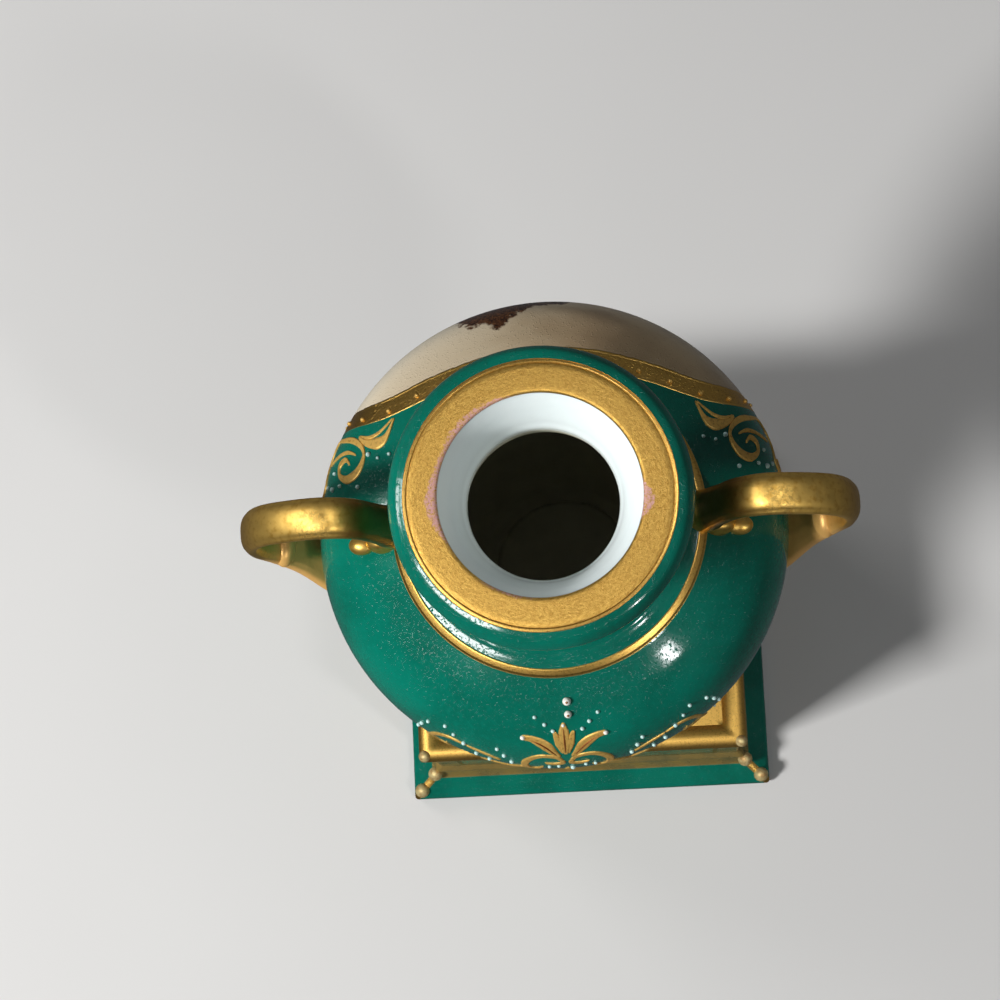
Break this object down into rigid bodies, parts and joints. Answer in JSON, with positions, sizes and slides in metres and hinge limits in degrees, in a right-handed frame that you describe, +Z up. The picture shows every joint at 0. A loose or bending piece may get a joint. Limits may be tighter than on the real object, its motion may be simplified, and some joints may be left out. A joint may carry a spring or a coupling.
{
  "type": "mantel urn",
  "caption": "Two-handled porcelain urn with an open mouth, on a square plinth; a standing mantel ornament that can hold stems.",
  "frame": {"origin": "middle of the plinth's underside, on the shelf", "axes": "+Z up to the rim; the handles lie along X; the painted side faces -Y"},
  "size_m": [0.1212, 0.095, 0.216],
  "materials": {
    "green_glaze": "deep green glossy glaze over white porcelain",
    "gilding": "fired gilding, satin on flat bands and burnished on the handles",
    "white_porcelain": "clear glossy glaze over white porcelain",
    "enamel": "raised pale enamel dots"
  },
  "bodies": {
    "root": {"vase": "green_glaze", "plinth": "green_glaze"}
  },
  "joints": []
}
